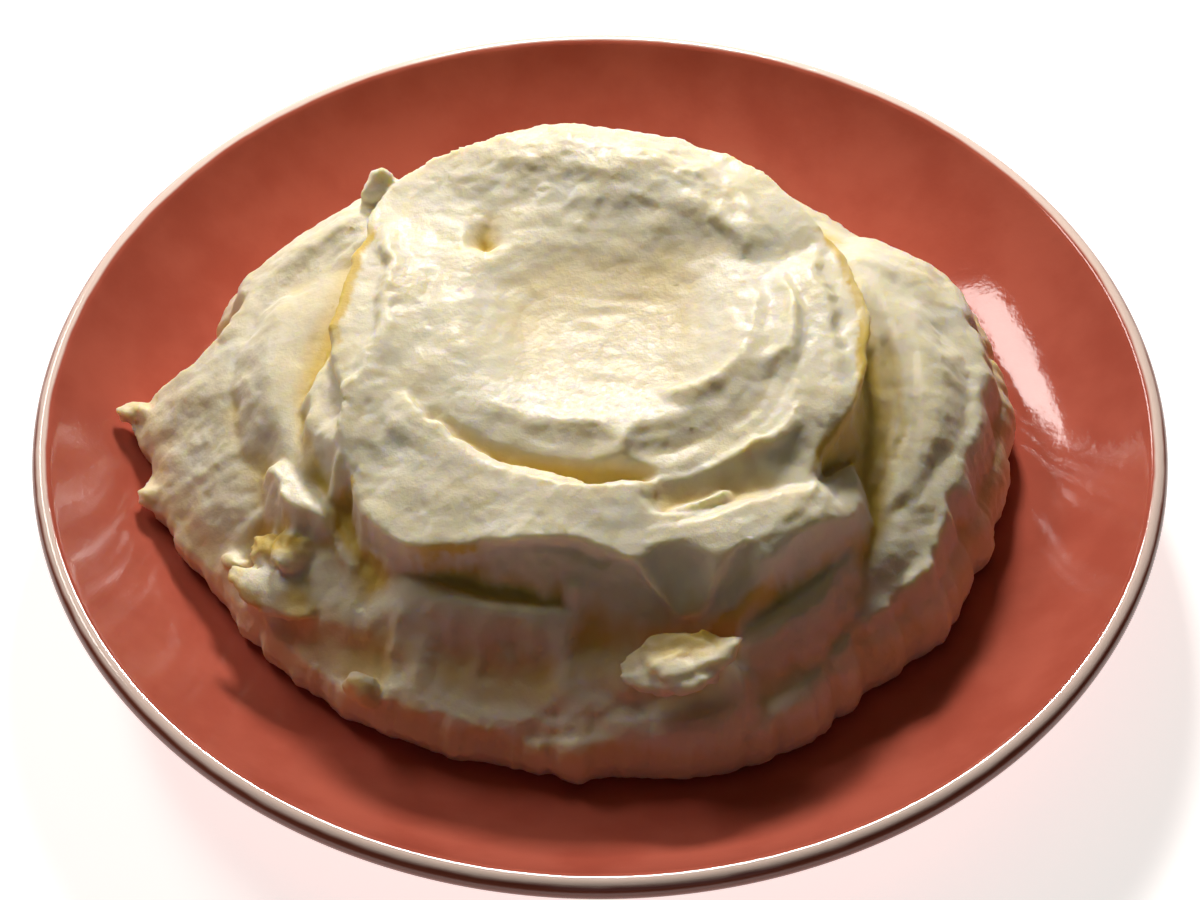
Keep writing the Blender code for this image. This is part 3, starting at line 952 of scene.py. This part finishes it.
@dataclass
class Plate:
    """The coupe plate: a flat floor, a wall that curves up to a full-round lip, and a foot ring."""

    radius: float
    lip_radius: float = 2.1 * MM
    floor: float = 7.5 * MM
    flat_radius: float = 55.0 * MM
    wall_angle: float = math.radians(45.0)
    foot_outer: float = 47.0 * MM
    foot_inner: float = 41.0 * MM
    foot_round: float = 0.8 * MM
    foot_slope: float = 1.5 * MM
    recess: float = 1.8 * MM
    spokes: int = 320
    wall_steps: int = 36
    lip_steps: int = 20
    glaze: ReactiveGlaze = field(default_factory=ReactiveGlaze)

    @property
    def lip_centre(self) -> float:
        """Radius of the lip's crest."""
        return self.radius - self.lip_radius

    @property
    def wall_curve(self) -> float:
        """Radius of the arc that the inner wall follows."""
        end = self.lip_centre - self.lip_radius * math.sin(self.wall_angle)
        return (end - self.flat_radius) / math.sin(self.wall_angle)

    @property
    def crest_height(self) -> float:
        """Height of the lip's crest."""
        end = self.floor + self.wall_curve * (1 - math.cos(self.wall_angle))
        return end - self.lip_radius * math.cos(self.wall_angle) + self.lip_radius

    def surface(self, radius: np.ndarray) -> np.ndarray:
        """Give the height of the plate's inner surface.

        Args:
            radius: Distance from the axis, in metres.

        Returns:
            The height over the table, in metres.
        """
        end = self.wall_curve * math.sin(self.wall_angle)
        out = np.clip(radius - self.flat_radius, 0.0, end)
        return self.floor + self.wall_curve - np.sqrt(self.wall_curve ** 2 - out ** 2)

    def profile(self) -> list[tuple[float, float]]:
        """Draw the section from the middle of the floor, over the lip, to the middle of the underside.

        Returns:
            Points as radius and height, in metres.
        """
        thickness = 2 * self.lip_radius
        axis = self.floor + self.wall_curve
        bend = np.linspace(0.0, self.wall_angle, self.wall_steps + 1)
        inner = [(self.flat_radius + self.wall_curve * math.sin(a), axis - self.wall_curve * math.cos(a))
                 for a in bend]
        outer_curve = self.wall_curve + thickness
        outer = [(self.flat_radius + outer_curve * math.sin(a), axis - outer_curve * math.cos(a))
                 for a in bend[::-1]]
        lip_height = self.crest_height - self.lip_radius
        turn = np.linspace(math.pi / 2, -math.pi / 2, self.lip_steps)[1:-1] + self.wall_angle
        lip = [(self.lip_centre + self.lip_radius * math.cos(a),
                lip_height + self.lip_radius * math.sin(a)) for a in turn]
        flat = [(self.flat_radius * share, self.floor) for share in np.linspace(0.0, 0.96, 9)]
        under = self.floor - thickness
        foot = [(self.foot_outer + self.foot_slope, under),
                (self.foot_outer, self.foot_round), (self.foot_outer - self.foot_round, 0.0),
                (self.foot_inner + self.foot_round, 0.0), (self.foot_inner, self.foot_round),
                (self.foot_inner - self.foot_slope, self.recess), (0.0, self.recess)]
        return flat + inner + lip + outer + foot

    def build(self) -> bpy.types.Object:
        """Turn the section into the plate.

        Returns:
            The finished piece.
        """
        profile = self.profile()
        select_only()
        bpy.ops.mesh.primitive_circle_add(vertices=len(profile), radius=self.radius)
        piece = start_piece("plate_body")
        set_points(piece, np.array([(radius, 0.0, height) for radius, height in profile]))
        bpy.ops.object.mode_set(mode="EDIT")
        bpy.ops.mesh.select_all(action="DESELECT")
        bpy.ops.object.mode_set(mode="OBJECT")
        last = len(profile) - 1
        for edge in piece.data.edges:
            edge.select = set(edge.vertices) == {0, last}
        bpy.ops.object.mode_set(mode="EDIT")
        bpy.ops.mesh.select_mode(type="EDGE")
        bpy.ops.mesh.delete(type="EDGE")
        bpy.ops.mesh.select_mode(type="VERT")
        bpy.ops.mesh.select_all(action="SELECT")
        bpy.ops.mesh.spin(steps=self.spokes, angle=math.tau, center=(0, 0, 0), axis=(0, 0, 1))
        bpy.ops.mesh.select_all(action="SELECT")
        bpy.ops.mesh.remove_doubles(threshold=0.01 * MM)
        bpy.ops.mesh.normals_make_consistent(inside=False)
        bpy.ops.object.mode_set(mode="OBJECT")
        shade_smooth(piece, math.radians(40))
        return piece

    def dress(self, piece: bpy.types.Object) -> None:
        """Glaze the plate and put it in the frame.

        Args:
            piece: The plate's mesh.
        """
        piece.data.materials.clear()
        piece.data.materials.append(self.glaze.make(self.lip_centre, self.crest_height))
        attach(piece, "root")
        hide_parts("plate")


# The mash


@dataclass(frozen=True)
class ButteredPotato:
    """Boiled floury potato mashed with butter and milk, heaped while warm.

    It gives the eye a dense cream that light sinks into, with a damp, half-matt skin of grains
    about a millimetre wide. Its hollows are painted a deep yellow: painted shade, for the yellow
    shadow that light glowing through the mash leaves there.
    """

    cream: str = "F2E8C8"
    # Painted shade: the deep yellow that the hollows are tinted, for the shade that glows through the
    # mash there
    shade_yellow: str = "E3C768"
    pale: str = "F7F0DA"
    depth: float = 1.7 * MM
    red_depth: float = 1.0
    green_depth: float = 0.85
    blue_depth: float = 0.25
    ior: float = 1.4
    dry: float = 0.52
    damp: float = 0.3
    grain: float = 1.1 * MM
    lump: float = 11.0 * MM
    relief: float = 0.16 * MM

    def make(self) -> bpy.types.Material:
        """Mix the potato.

        Returns:
            The material, which reads the mesh's own layer named hollow_shade and tints the hollows
            yellow with it as painted shade.
        """
        material, tree, out = new_material("mash_buttered_potato")
        place = add_node(tree, "TexCoord").outputs["Object"]
        hollow_shade = add_node(tree, "Attribute", {"attribute_name": "hollow_shade"}).outputs["Fac"]
        lumps = add_node(tree, "TexNoise", {"Scale": 1 / self.lump, "Detail": 5.0}, {"Vector": place})
        spread = add_node(tree, "MapRange", {"From Min": 0.3, "From Max": 0.7},
                          {"Value": lumps.outputs["Fac"]})
        colour = add_node(tree, "MixRGB", {"Color1": srgb(self.pale), "Color2": srgb(self.cream)},
                          {"Fac": spread.outputs["Result"]}).outputs[0]
        # Painted shade: the hollows are tinted yellow by the hollow_shade layer
        colour = add_node(tree, "MixRGB", {"Color2": srgb(self.shade_yellow)},
                          {"Fac": hollow_shade, "Color1": colour}).outputs[0]
        grains = add_node(tree, "TexNoise", {"Scale": 1 / self.grain, "Detail": 3.0, "Roughness": 0.6},
                          {"Vector": place})
        wet = add_node(tree, "MapRange", {"From Min": 0.3, "From Max": 0.7, "To Min": self.damp,
                                          "To Max": self.dry}, {"Value": grains.outputs["Fac"]})
        skin = add_node(tree, "Bump", {"Strength": 0.7, "Distance": self.relief},
                        {"Height": grains.outputs["Fac"]})
        shader = add_node(tree, "BsdfPrincipled", {
            "IOR": self.ior, "Subsurface Weight": 1.0, "Subsurface Scale": self.depth,
            "Subsurface Radius": (self.red_depth, self.green_depth, self.blue_depth)},
            {"Base Color": colour, "Roughness": wet.outputs["Result"], "Normal": skin.outputs["Normal"]})
        tree.links.new(shader.outputs[0], out.inputs["Surface"])
        return material


@dataclass
class MashHeap:
    """The heap of mash: the worked top, the rolled side, and the underside that fills the plate."""

    plate: Plate
    base_radius: float = BASE_RING
    edge_height: float = 4.0
    undercut: float = 3.0
    side_height: float = 12.0
    side_width: float = 7.0
    side_slope: float = 3.0
    mound_height: float = 28.0
    mound_foot: float = 10.0
    sink: float = 0.25
    pitch: float = 0.45
    skin_pitch: float = 0.5
    triangles: int = 190_000
    segments: int = 144
    rings: int = 76
    splits: int = 2
    potato: ButteredPotato = field(default_factory=ButteredPotato)
    top: Top = field(init=False)
    hollow_shade: np.ndarray = field(init=False)

    REACH = 92.0
    MOUND_FLATNESS = 3.2
    MOUND_FULLNESS = 0.55
    EDGE_BLEND = 2.5
    EDGE_WANDER = 1.6
    EDGE_LUMP = 11.0
    SEAM = 1e-6
    FREE_HEIGHT = 1.5
    PIT_SIZE = 2.6
    PIT_SHIFT = 120.0
    PIT_LEVEL = 0.35
    PIT_DEPTH = 0.35
    HOLLOW_WIDTH = 5.0
    HOLLOW_DEPTH = 2.4
    BASIN_WIDTH = 12.0
    BASIN_SHARE = 0.25
    FOOT_HEIGHT = 22.0

    def plate_height(self, radius: np.ndarray) -> np.ndarray:
        """Give the plate's inner surface in millimetres."""
        return self.plate.surface(radius * MM) / MM

    def outline(self, angle: np.ndarray) -> np.ndarray:
        """Give the radius where the mash meets the plate.

        Args:
            angle: Direction from the axis, in radians.

        Returns:
            The radius in millimetres.
        """
        radius = add_lobes(self.base_radius, OUTLINE, np.degrees(angle))
        ring = np.stack((np.cos(angle), np.sin(angle), np.zeros_like(angle)), axis=-1)
        wander = WANDER.rough(ring * self.base_radius, self.EDGE_LUMP, 4, 0.65)
        return radius + self.EDGE_WANDER * wander

    def work_top(self) -> None:
        """Heap the mound and work every stroke into it."""
        self.top = Top(reach=self.REACH, pitch=self.pitch)
        top = self.top
        radius = np.hypot(top.x, top.y)
        rim = self.outline(np.arctan2(top.y, top.x))
        share = np.clip(radius / rim, 0.0, 1.0)
        mound = (1 - share ** self.MOUND_FLATNESS) ** self.MOUND_FULLNESS
        top.height = self.mound_foot + self.mound_height * mound
        for stroke in HEAP:
            stroke.work(top)
        inset = rim - radius
        roll = np.sqrt(1 - (1 - np.clip(inset / self.side_width, 0.0, 1.0)) ** 2)
        side = self.edge_height + self.side_height * roll
        side = side + self.side_slope * np.clip(inset - self.side_width / 2, 0.0, None)
        bed = self.plate_height(radius)
        top.height = soft_min(top.height, bed + side, self.EDGE_BLEND)
        top.height = np.maximum(top.height, bed + self.edge_height)
        # Painted shade: how far each point lies below its blurred surroundings, later tinted yellow
        self.hollow_shade = top.blur(top.height, self.HOLLOW_WIDTH) - top.height
        self.hollow_shade += self.BASIN_SHARE * (top.blur(top.height, self.BASIN_WIDTH) - top.height)

    def press_body(self) -> bpy.types.Object:
        """Press a sphere to the worked top and to the plate below it.

        Returns:
            The heap's body.
        """
        select_only()
        bpy.ops.mesh.primitive_uv_sphere_add(segments=self.segments, ring_count=self.rings, radius=1.0)
        piece = start_piece("mash_body")
        apply_modifier(piece, "SUBSURF", subdivision_type="SIMPLE", levels=self.splits,
                       render_levels=self.splits)
        points = get_vectors(piece.data.vertices, "co")
        points /= np.linalg.norm(points, axis=1, keepdims=True)
        polar = np.arccos(np.clip(points[:, 2], -1, 1)) / (math.pi / 2)
        share = np.where(polar <= 1, polar, 2 - polar)
        angle = np.arctan2(points[:, 1], points[:, 0])
        rim = self.outline(angle)
        radius = share * rim
        x, y = radius * np.cos(angle), radius * np.sin(angle)
        bed = self.plate_height(radius)
        inset = np.clip((rim - radius) / self.undercut, 0.0, 1.0)
        tuck = self.edge_height * (1 - np.sqrt(1 - (1 - inset) ** 2))
        upper = points[:, 2] >= -self.SEAM
        z = np.where(upper, self.top.read(self.top.height, x, y), bed - self.sink + tuck)
        x = x + upper * self.top.read(self.top.lean_x, x, y)
        y = y + upper * self.top.read(self.top.lean_y, x, y)
        set_points(piece, np.column_stack((x, y, z)) * MM)
        return piece

    def add_flakes(self, piece: bpy.types.Object) -> None:
        """Join the torn flakes, drips and lumps to the body.

        Args:
            piece: The heap's body.
        """
        made = [flake.build(number) for number, flake in enumerate(FLAKES)]
        select_only(piece, *made)
        bpy.ops.object.join()

    def roughen(self, piece: bpy.types.Object) -> None:
        """Raise lumps and grains on the skin, least where the spoon smoothed it.

        Args:
            piece: The heap's body.
        """
        points = get_vectors(piece.data.vertices, "co") / MM
        normals = get_vectors(piece.data.vertex_normals, "vector")
        polish = self.top.read(self.top.polish, points[:, 0], points[:, 1])
        raw = 1 - polish
        pits = -SKIN.rough(points + self.PIT_SHIFT, self.PIT_SIZE, 2, 0.6) - self.PIT_LEVEL
        push = -self.PIT_DEPTH * raw * np.clip(pits, 0.0, 1.0)
        for kind in UNEVENNESS:
            push += (raw * kind.torn + kind.smoothed) * kind.read(points)
        bed = self.plate_height(np.hypot(points[:, 0], points[:, 1]))
        free = np.clip((points[:, 2] - bed) / self.FREE_HEIGHT, 0.0, 1.0)
        set_points(piece, (points + normals * (push * free)[:, None]) * MM)

    def paint_hollow_shade(self, piece: bpy.types.Object) -> None:
        """Write the painted-shade layer: how deep in a hollow each point lies, which the potato's
        material tints yellow.

        Args:
            piece: The heap's finished body.
        """
        points = get_vectors(piece.data.vertices, "co") / MM
        deep = self.top.read(self.hollow_shade, points[:, 0], points[:, 1]) / self.HOLLOW_DEPTH
        above = points[:, 2] - self.plate_height(np.hypot(points[:, 0], points[:, 1]))
        deep = np.clip(deep, 0.0, 1.0) * np.clip(above / self.FOOT_HEIGHT, 0.0, 1.0)
        layer = piece.data.attributes.new("hollow_shade", "FLOAT", "POINT")
        layer.data.foreach_set("value", deep.astype(np.float32))

    def build(self) -> bpy.types.Object:
        """Make the heap.

        Returns:
            The finished piece.
        """
        self.work_top()
        piece = self.press_body()
        self.add_flakes(piece)
        apply_modifier(piece, "REMESH", mode="VOXEL", voxel_size=self.skin_pitch * MM)
        self.roughen(piece)
        count = sum(len(face.vertices) - 2 for face in piece.data.polygons)
        if count > self.triangles:
            apply_modifier(piece, "DECIMATE", ratio=self.triangles / count)
        self.paint_hollow_shade(piece)
        shade_smooth(piece)
        return piece

    def dress(self, piece: bpy.types.Object) -> None:
        """Give the heap its potato and put it in the frame.

        Args:
            piece: The heap's mesh.
        """
        piece.data.materials.clear()
        piece.data.materials.append(self.potato.make())
        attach(piece, "root")
        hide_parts("mash")


# The studio


class Softness(Enum):
    """How wide a lamp's face is, in metres, across and along."""

    KEY = (0.1, 0.1)
    OVERHEAD = (0.9, 0.9)
    STRIP = (0.2, 0.68)


@dataclass(frozen=True)
class Lamp:
    """A flat rectangular studio lamp that looks at the heap."""

    name: str
    softness: Softness
    azimuth: float
    elevation: float
    distance: float
    watts: float
    colour: str = "FFFFFF"
    turn: float = 0.0

    def hang(self, target: Vector) -> None:
        """Hang the lamp and point it.

        Args:
            target: The point that the lamp looks at.
        """
        azimuth, elevation = math.radians(self.azimuth), math.radians(self.elevation)
        way = Vector((math.cos(azimuth) * math.cos(elevation), math.sin(azimuth) * math.cos(elevation),
                      math.sin(elevation)))
        select_only()
        bpy.ops.object.light_add(type="AREA", location=target + self.distance * way)
        lamp = bpy.context.active_object
        lamp.name = self.name
        spin = Matrix.Rotation(math.radians(self.turn), 4, "Z")
        lamp.rotation_euler = (way.to_track_quat("Z", "Y").to_matrix().to_4x4() @ spin).to_euler()
        lamp.data.shape = "RECTANGLE"
        lamp.data.size, lamp.data.size_y = self.softness.value
        lamp.data.energy = self.watts
        lamp.data.color = srgb(self.colour)[:3]


@dataclass
class Studio:
    """Floor, lamps and camera."""

    plate: Plate
    floor_size: float = 6.0
    paper: str = "F7F6F4"
    fibre_scale: float = 900.0
    air: float = 0.006
    # Painted light: the floor glows in a disc round the plate, which lifts the plate's shadow off it
    floor_glow: float = 0.8
    glow_radius: float = 0.2
    glow_fade: float = 0.06
    lens: float = 105.0
    sensor: float = 36.0
    look_down: float = math.radians(49.2)
    stand_off: float = 6.126
    look_past: float = -0.083844
    lamps: tuple[Lamp, ...] = (
        Lamp("key", Softness.KEY, 90.0, 38.0, 0.6, 3.5, "FFF9F4"),
        Lamp("overhead", Softness.OVERHEAD, 95.0, 78.0, 1.5, 0.8, "FFE7A8"),
        Lamp("front fill", Softness.OVERHEAD, -80.0, 30.0, 1.5, 0.5, "DCE8FF"),
        Lamp("strip", Softness.STRIP, 133.0, 42.0, 1.3, 6.0, "FFF6F2", -41.0),
    )

    def lay_floor(self) -> None:
        """Lay the pale floor, which glows as painted light in a disc round the plate."""
        select_only()
        bpy.ops.mesh.primitive_plane_add(size=self.floor_size)
        floor = start_piece("studio_floor")
        material, tree, out = new_material("studio_paper")
        place = add_node(tree, "TexCoord").outputs["Object"]
        fibre = add_node(tree, "TexNoise", {"Scale": self.fibre_scale, "Detail": 2.0}, {"Vector": place})
        tooth = add_node(tree, "Bump", {"Strength": 0.05, "Distance": 0.1 * MM},
                         {"Height": fibre.outputs["Fac"]})
        radius = add_node(tree, "VectorMath", {"operation": "LENGTH"}, {0: place}).outputs["Value"]
        # Painted light: emission in a disc round the plate
        glow = add_node(tree, "MapRange", {
            "interpolation_type": "SMOOTHSTEP", "From Min": self.glow_radius + self.glow_fade,
            "From Max": self.glow_radius, "To Max": self.floor_glow}, {"Value": radius})
        shader = add_node(tree, "BsdfPrincipled", {
            "Base Color": srgb(self.paper), "Roughness": 0.9, "Emission Color": srgb(self.paper)},
            {"Normal": tooth.outputs["Normal"], "Emission Strength": glow.outputs["Result"]})
        tree.links.new(shader.outputs[0], out.inputs["Surface"])
        floor.data.materials.append(material)

    def light(self) -> None:
        """Fill the air with a little light and hang the lamps."""
        world = bpy.data.worlds.new("studio_air")
        world.use_nodes = True
        world.node_tree.nodes["Background"].inputs["Color"].default_value = srgb("FFFFFF")
        world.node_tree.nodes["Background"].inputs["Strength"].default_value = self.air
        bpy.context.scene.world = world
        bpy.context.scene.view_settings.view_transform = "Standard"
        for lamp in self.lamps:
            lamp.hang(Vector((0.0, 0.0, self.plate.crest_height)))

    def set_camera(self) -> None:
        """Stand the camera in front of the plate, looking down at it."""
        radius = self.plate.lip_centre
        aim = Vector((0.0, self.look_past * radius, self.plate.crest_height))
        back = Vector((0.0, -math.cos(self.look_down), math.sin(self.look_down)))
        select_only()
        bpy.ops.object.camera_add(location=aim + back * self.stand_off * self.plate.radius,
                                  rotation=(math.pi / 2 - self.look_down, 0.0, 0.0))
        camera = bpy.context.active_object
        camera.name = "camera"
        camera.data.lens = self.lens
        camera.data.sensor_width = self.sensor
        camera.data.sensor_fit = "HORIZONTAL"
        bpy.context.scene.camera = camera

    def build(self) -> None:
        """Set up floor, lamps and camera."""
        self.lay_floor()
        self.light()
        self.set_camera()


def main() -> None:
    """Build the plate, the mash and the studio."""
    logging.basicConfig(level=logging.INFO, format="%(message)s")
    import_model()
    low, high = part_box("plate")
    plate = Plate(radius=round((high.x - low.x) / 2, 4))
    plate_body = plate.build()
    plate.dress(plate_body)
    LOG.info("plate: %d faces", len(plate_body.data.polygons))
    heap = MashHeap(plate=plate)
    mash_body = heap.build()
    heap.dress(mash_body)
    LOG.info("mash: %d faces", len(mash_body.data.polygons))
    Studio(plate=plate).build()


if __name__ == "__main__":
    main()
